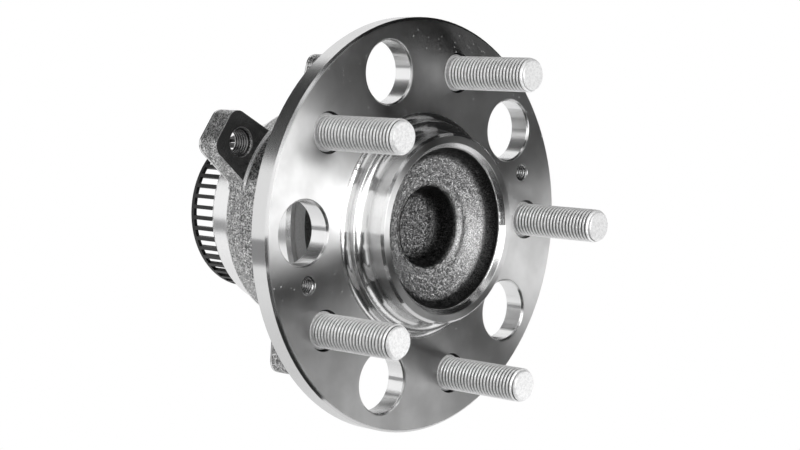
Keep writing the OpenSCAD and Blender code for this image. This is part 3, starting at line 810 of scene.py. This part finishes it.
class FinishSettings(bpy.types.PropertyGroup):
    """Greys from 0, black, to 1, white; a pair is the darkest and the lightest of a finish."""

    turned_steel: bpy.props.FloatProperty(
        name="Turned steel", description="Grey of the flange's face and the rim",
        default=0.70, min=0.0, max=1.0, subtype="FACTOR")
    polished_steel: bpy.props.FloatVectorProperty(
        name="Polished steel", description="Greys of the pilots, the flange's edge and the rest of the hub",
        size=2, default=(0.48, 0.62), min=0.0, max=1.0)
    hole_walls: bpy.props.FloatProperty(
        name="Hole walls", description="Grey of the windows' walls and of the bevel inside the rim",
        default=0.88, min=0.0, max=1.0, subtype="FACTOR")
    # A painted shade in the sunk rings round the studs' feet, dark as their shadowed depth
    stud_relief_shade: bpy.props.FloatProperty(
        name="Stud reliefs", description="Grey of the sunk rings round the studs' feet",
        default=0.07, min=0.0, max=1.0, subtype="FACTOR")
    hub_forging: bpy.props.FloatVectorProperty(
        name="Hub forging", description="Greys of the forged recess and the flange's back",
        size=2, default=(0.14, 0.68), min=0.0, max=1.0)
    ring_forging: bpy.props.FloatVectorProperty(
        name="Ring forging", description="Greys of the outer ring's forged body",
        size=2, default=(0.10, 0.95), min=0.0, max=1.0)
    ring_ground: bpy.props.FloatProperty(
        name="Ground ring", description="Grey of the outer ring's ground ends",
        default=0.86, min=0.0, max=1.0, subtype="FACTOR")
    ear_faces: bpy.props.FloatProperty(
        name="Ear faces", description="Grey of the ears' machined faces",
        default=0.13, min=0.0, max=1.0, subtype="FACTOR")
    # A painted highlight along the edge at the foot of each ear
    ear_arc_highlight: bpy.props.FloatProperty(
        name="Ear arcs", description="Grey of the bright step at the foot of each ear",
        default=0.85, min=0.0, max=1.0, subtype="FACTOR")
    ground_steel: bpy.props.FloatVectorProperty(
        name="Ground steel", description="Greys of the balls and the inner ring",
        size=2, default=(0.66, 0.74), min=0.0, max=1.0)
    stud_coat: bpy.props.FloatVectorProperty(
        name="Stud coat", description="Greys of the wheel studs' zinc, for its grit and for its blotches",
        size=2, default=(0.86, 1.0), min=0.0, max=1.0)
    # A painted shade in the bottom of every thread
    thread_groove_shade: bpy.props.FloatProperty(
        name="Thread grooves", description="Grey of the bottom of every thread",
        default=0.02, min=0.0, max=1.0, subtype="FACTOR")
    screw_crests: bpy.props.FloatProperty(
        name="Screw thread crests", description="Grey of the crests in the disc screw holes",
        default=0.60, min=0.0, max=1.0, subtype="FACTOR")
    # Darker than the screw crests: painted shade inside the ears' bolt holes
    ear_crests_shaded: bpy.props.FloatProperty(
        name="Ear thread crests", description="Grey of the crests in the ears' bolt holes",
        default=0.34, min=0.0, max=1.0, subtype="FACTOR")
    sheet_steel: bpy.props.FloatVectorProperty(
        name="Sheet steel", description="Greys of the seal cases, the slinger and the nut",
        size=2, default=(0.78, 0.90), min=0.0, max=1.0)
    tone_ring: bpy.props.FloatVectorProperty(
        name="Tone ring", description="Greys of the tone ring's black coat",
        size=2, default=(0.008, 0.022), min=0.0, max=1.0)
    seal_rubber: bpy.props.FloatVectorProperty(
        name="Seal rubber", description="Greys of the seals' lips",
        size=2, default=(0.05, 0.16), min=0.0, max=1.0)
    cage_dark: bpy.props.FloatVectorProperty(
        name="Cage, dark", description="Darkest colour of the ball cages",
        size=4, default=(0.62, 0.52, 0.33, 1.0), min=0.0, max=1.0, subtype="COLOR")
    cage_light: bpy.props.FloatVectorProperty(
        name="Cage, light", description="Lightest colour of the ball cages",
        size=4, default=(0.70, 0.61, 0.42, 1.0), min=0.0, max=1.0, subtype="COLOR")


class StageSettings(bpy.types.PropertyGroup):
    """The floor and the lens."""

    floor_drop: bpy.props.FloatProperty(
        name="Floor drop", description="Distance from the axis down to the floor",
        default=0.2, unit="LENGTH", subtype="DISTANCE")
    floor_tone: bpy.props.FloatProperty(
        name="Floor tone", description="Grey value of the floor",
        default=0.8, min=0.0, max=1.0, subtype="FACTOR")
    floor_glow: bpy.props.FloatProperty(
        name="Floor glow", description="Share of plain white in the floor's middle; its edge is all white",
        default=0.72, min=0.0, max=1.0, subtype="FACTOR")
    lens: bpy.props.FloatProperty(
        name="Lens", description="Focal length of the camera", default=88.92, unit="CAMERA")


# Operators


class HUB_OT_finishes(bpy.types.Operator):
    """Gives every solid of the bearing its finish"""

    bl_idname = "hub.finishes"
    bl_label = "Finishes"

    def execute(self, context):
        tones = context.scene.hub_finishes
        made = {slot: maker(tones) for slot, maker in FINISHES.items()}
        for part in frame["record"]["subparts"]:
            obj = NODES[part["node"]]
            obj.data.materials.clear()
            obj.data.materials.append(made[part["material_slot"]])
        return {"FINISHED"}


class HUB_OT_wheel_studs(bpy.types.Operator):
    """Makes the wheel studs with their threads"""

    bl_idname = "hub.wheel_studs"
    bl_label = "Wheel studs"

    def execute(self, context):
        size = context.scene.hub_threads
        tip = STUD_LOW.y
        head = STUD_HIGH.y
        head_radius = (STUD_HIGH.z - STUD_LOW.z) / 2
        core_radius = STUD_RADIUS - size.stud_depth
        start = tip + LEAD_IN
        core = new_object("stud_core", lathe("stud_core", [
            (0, tip),
            (size.tip_radius, tip),
            (core_radius + 0.02 * MM, tip + 0.3 * MM),
            (core_radius, SHANK_END),
            (STUD_RADIUS, SHANK_END),
            (SERRATION_RADIUS, SERRATION_START),
            (SERRATION_RADIUS, HEAD_SEAT),
            (head_radius, HEAD_SEAT),
            (head_radius, head - HEAD_CHAMFER),
            (head_radius - HEAD_CHAMFER, head),
            (0, head),
        ], STUD_FACETS))
        studs = baked("wheel_studs", thread_tree(), {
            "Core": core, "Crest radius": STUD_RADIUS,
            "Depth": size.stud_depth, "Pitch": size.stud_pitch,
            "Start": start, "Length": SHANK_END - start, **STUD_MESH,
            "Copies": STUD_COUNT, "Circle radius": STUD_CIRCLE, "First angle": 0.0,
            "Tip radius": size.tip_radius + TIP_CLEARANCE, "Tip slope": TIP_SLOPE,
            "Material": bpy.data.materials["stud_coat"]})
        bpy.data.objects.remove(core)
        smooth_by_angle(studs, STUD_SMOOTH_DEGREES)
        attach(studs, "hub")
        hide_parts(*[f"wheel_stud_{i + 1}" for i in range(STUD_COUNT)])
        return {"FINISHED"}


class HUB_OT_screw_threads(bpy.types.Operator):
    """Cuts threads in the disc screw holes and the ears' bolt holes"""

    bl_idname = "hub.screw_threads"
    bl_label = "Threads in holes"

    def execute(self, context):
        size = context.scene.hub_threads
        tones = context.scene.hub_finishes
        bright = cut_thread("screw_thread", tones.screw_crests, tones.thread_groove_shade)
        # The ears' threads are a darker copy, with painted shade inside their holes
        dark = cut_thread("ear_thread", tones.ear_crests_shaded, tones.thread_groove_shade)
        # Each hole has its like on the other side of the axis, so each piece is two copies.
        for name, mount, pitch, body, slot_name, finish in (
            ("disc_screw_threads", SCREW, size.screw_pitch, "hub", "machined_steel", bright),
            ("ear_thread_a", EAR_BOLTS[0], size.ear_pitch, "outer_ring", "forged_steel", dark),
            ("ear_thread_b", EAR_BOLTS[1], size.ear_pitch, "outer_ring", "forged_steel", dark),
        ):
            x, y, z = mount["pos_m"]
            length = mount["dims"]["length_mm"] * MM
            wall = mount["dims"]["r_mm"] * MM
            depth = pitch * HOLE_DEPTH_SHARE
            # A negative depth cuts outwards from the crests, to just behind the hole's wall.
            piece = baked(name, thread_tree(), {
                "Crest radius": wall - depth * HOLE_CREST_INSET, "Depth": -depth, "Pitch": pitch,
                "Start": y - length / 2 - LEAD_IN, "Length": length + 2 * LEAD_IN,
                **HOLE_MESH, "Copies": 2,
                "Circle radius": math.hypot(x, z), "First angle": math.atan2(z, x),
                "Material": finish}, flip=True)
            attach(piece, body)
        return {"FINISHED"}


class HUB_OT_stage(bpy.types.Operator):
    """Sets the floor, the lights and the camera"""

    bl_idname = "hub.stage"
    bl_label = "Stage"

    def execute(self, context):
        scene = context.scene
        size = scene.hub_stage
        floor = make_floor(size)
        make_world(scene)
        make_cards()
        make_lamp("key", place=(-0.06, -1.05, 0.11), watts=8.0, width=0.66, height=0.60)
        fill = make_lamp("low_fill", place=(0.13, -0.185, -0.18), watts=0.19, width=0.26, height=0.18)
        keep_light_off(fill, floor)
        make_camera(scene, size.lens)
        scene.view_settings.view_transform = "Standard"
        return {"FINISHED"}


# Stage

# The floor's radius and corners, and the radii between which its glow rises, in metres
FLOOR_RADIUS = 0.46
FLOOR_STEPS = 64
GLOW_RADII = (0.20, 0.45)

# Roughness of the floor and the cards
MATT = 0.9

# How strongly the world lights, and how it looks to the camera and in mirrors
WORLD_LIGHT = 0.5
WORLD_SEEN = 1.0

# Dark and grey cards outside the picture, in metres; each turns its width across the line to the axis
STANDING_CARDS = (
    # name, centre, width, height, tone
    ("front_right_card", (0.48, -0.27, 0.36), 0.72, 1.32, 0.01),
    ("right_card", (0.52, 0.19, 0.46), 0.42, 0.92, 0.01),
    ("front_low_card", (-0.03, -0.30, -0.135), 0.40, 0.13, 0.01),
    ("back_left_card", (-0.275, 0.578, 0.74), 0.76, 0.92, 0.01),
    ("back_left_strip", (-0.50, 0.50, -0.142), 1.0, 0.125, 0.40),
    ("left_front_strip", (-0.42, -0.46, -0.13), 0.70, 0.14, 0.01),
    ("front_left_top", (-0.16, -0.84, 0.72), 1.00, 0.50, 0.01),
)
LYING_CARDS = (
    # name, centre, width, depth, tone
    ("front_right_top", (0.24, -0.19, 1.05), 1.2, 0.7, 0.01),
    ("front_floor_card", (0.0, -0.295, -0.193), 0.92, 0.39, 0.06),
    ("left_floor_card", (-0.14, -0.05, -0.192), 0.22, 0.20, 0.01),
)

# The camera's angles in degrees; how far it stands off from the origin, to the side and up, in metres; and
# its sensor's width in millimetres
CAMERA_AZIMUTH = -46.253
CAMERA_ELEVATION = 4.788
CAMERA_ROLL = 1.362
CAMERA_DISTANCE = 0.70032
CAMERA_SIDE = -0.007412
CAMERA_RISE = 0.000376
SENSOR_WIDTH = 36.0
CLIP_RANGE = (0.01, 20.0)


def make_floor(size):
    """A pale disc that keeps the object's shadow and turns plain white towards its edge."""
    mesh = bpy.data.meshes.new("floor")
    mesh.from_pydata([(x, y, -size.floor_drop) for x, y in circle_points(FLOOR_RADIUS, FLOOR_STEPS)],
                     [], [tuple(range(FLOOR_STEPS))])
    floor = new_object("floor", mesh)
    p = Paint("floor_white")
    t = p.tree
    p.finish(size.floor_tone, MATT, metallic=0.0, Specular_IOR_Level=0.0)
    paper = add(t, "ShaderNodeEmission", {"Color": (1, 1, 1, 1), "Strength": 1.0}).outputs[0]
    from_middle = vector_calc(t, "LENGTH", combine(t, x=p.x, y=p.y))
    glow = ramp(t, from_middle, *GLOW_RADII, size.floor_glow, 1.0)
    both = add(t, "ShaderNodeMixShader", {"Fac": product(t, seen_directly(t), glow)})
    plug(t, both.inputs[1], p.shader.outputs[0])
    plug(t, both.inputs[2], paper)
    plug(t, t.nodes["Material Output"].inputs["Surface"], both.outputs[0])
    mesh.materials.append(p.material)
    return floor


def make_world(scene):
    """A world that shows white and lights softly."""
    world = bpy.data.worlds.new("studio")
    world.use_nodes = True
    tree = world.node_tree
    back = tree.nodes["Background"]
    plug(tree, back.inputs["Strength"], blend_value(tree, seen_directly(tree), WORLD_LIGHT, WORLD_SEEN))
    plug(tree, back.inputs["Color"], (1, 1, 1, 1))
    scene.world = world


def make_cards():
    """Cards outside the picture, so that bright metal has something dark to mirror."""
    for name, centre, width, height, tone in STANDING_CARDS:
        make_card(name, centre, width, Vector((0, 0, height / 2)), tone)
    for name, centre, width, depth, tone in LYING_CARDS:
        make_card(name, centre, width, away_from_axis(centre) * (depth / 2), tone)


def away_from_axis(place):
    """The level direction from the origin to the place."""
    return Vector((place[0], place[1], 0)).normalized()


def make_card(name, centre, width, rise, tone):
    """A card that only mirrors see; rise is the step from its middle to the middle of its far side."""
    out = away_from_axis(centre)
    side = Vector((-out.y, out.x, 0)) * (width / 2)
    middle = Vector(centre)
    mesh = bpy.data.meshes.new(name)
    corners = [middle - side - rise, middle + side - rise, middle + side + rise, middle - side + rise]
    mesh.from_pydata(corners, [], [(0, 1, 2, 3)])
    card = new_object(name, mesh)
    mesh.materials.append(Paint(name).finish(tone, MATT, metallic=0.0))
    card.visible_camera = False
    card.visible_shadow = False
    card.visible_diffuse = False


def make_lamp(name, place, watts, width, height):
    """A soft lamp that faces the origin and that the camera doesn't see."""
    data = bpy.data.lights.new(name, "AREA")
    data.shape = "RECTANGLE"
    data.size = width
    data.size_y = height
    data.energy = watts
    lamp = new_object(name, data)
    facing = Vector(place).to_track_quat("Z", "Y").to_matrix().to_4x4()
    lamp.matrix_world = Matrix.Translation(place) @ facing
    lamp.visible_camera = False
    return lamp


def keep_light_off(lamp, obj):
    """Lets the lamp light everything but one object, on which it would draw its own edge."""
    unlit = bpy.data.collections.new("unlit_by_" + lamp.name)
    unlit.objects.link(obj)
    unlit.collection_objects[0].light_linking.link_state = "EXCLUDE"
    lamp.light_linking.receiver_collection = unlit


def make_camera(scene, lens):
    """The camera of the photograph."""
    azimuth = math.radians(CAMERA_AZIMUTH)
    elevation = math.radians(CAMERA_ELEVATION)
    roll = math.radians(CAMERA_ROLL)
    right = Vector((math.cos(azimuth), math.sin(azimuth), 0))
    back = Vector((math.sin(azimuth) * math.cos(elevation), -math.cos(azimuth) * math.cos(elevation),
                   math.sin(elevation)))
    up = back.cross(right)
    side = right * math.cos(roll) + up * math.sin(roll)
    top = up * math.cos(roll) - right * math.sin(roll)
    data = bpy.data.cameras.new("camera")
    data.lens = lens
    data.sensor_width = SENSOR_WIDTH
    data.clip_start, data.clip_end = CLIP_RANGE
    camera = new_object("camera", data)
    place = back * CAMERA_DISTANCE + side * CAMERA_SIDE + top * CAMERA_RISE
    turn = Matrix((side, top, back)).transposed().to_4x4()
    camera.matrix_world = Matrix.Translation(place) @ turn
    scene.camera = camera


# Add-on


class HUB_PT_panel(bpy.types.Panel):
    """Lists the settings and the steps that dress the bearing"""

    bl_idname = "HUB_PT_panel"
    bl_label = "Wheel hub bearing"
    bl_space_type = "VIEW_3D"
    bl_region_type = "UI"
    bl_category = "Hub"

    def draw(self, context):
        for name, kind in SETTINGS.items():
            for key in kind.__annotations__:
                self.layout.prop(getattr(context.scene, name), key)
        for step in STEPS:
            self.layout.operator(step.bl_idname)


SETTINGS = {"hub_threads": ThreadSettings, "hub_finishes": FinishSettings, "hub_stage": StageSettings}
STEPS = (HUB_OT_finishes, HUB_OT_wheel_studs, HUB_OT_screw_threads, HUB_OT_stage)
CLASSES = (*SETTINGS.values(), *STEPS, HUB_PT_panel)


def register():
    """Adds the add-on's classes and its settings on the scene."""
    for item in CLASSES:
        bpy.utils.register_class(item)
    for name, kind in SETTINGS.items():
        setattr(bpy.types.Scene, name, bpy.props.PointerProperty(type=kind))


def unregister():
    """Takes the settings and the classes away again."""
    for name in SETTINGS:
        delattr(bpy.types.Scene, name)
    for item in reversed(CLASSES):
        bpy.utils.unregister_class(item)


def main():
    """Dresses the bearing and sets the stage."""
    register()
    bpy.ops.hub.finishes()
    bpy.ops.hub.wheel_studs()
    bpy.ops.hub.screw_threads()
    bpy.ops.hub.stage()


if __name__ == "__main__":
    main()
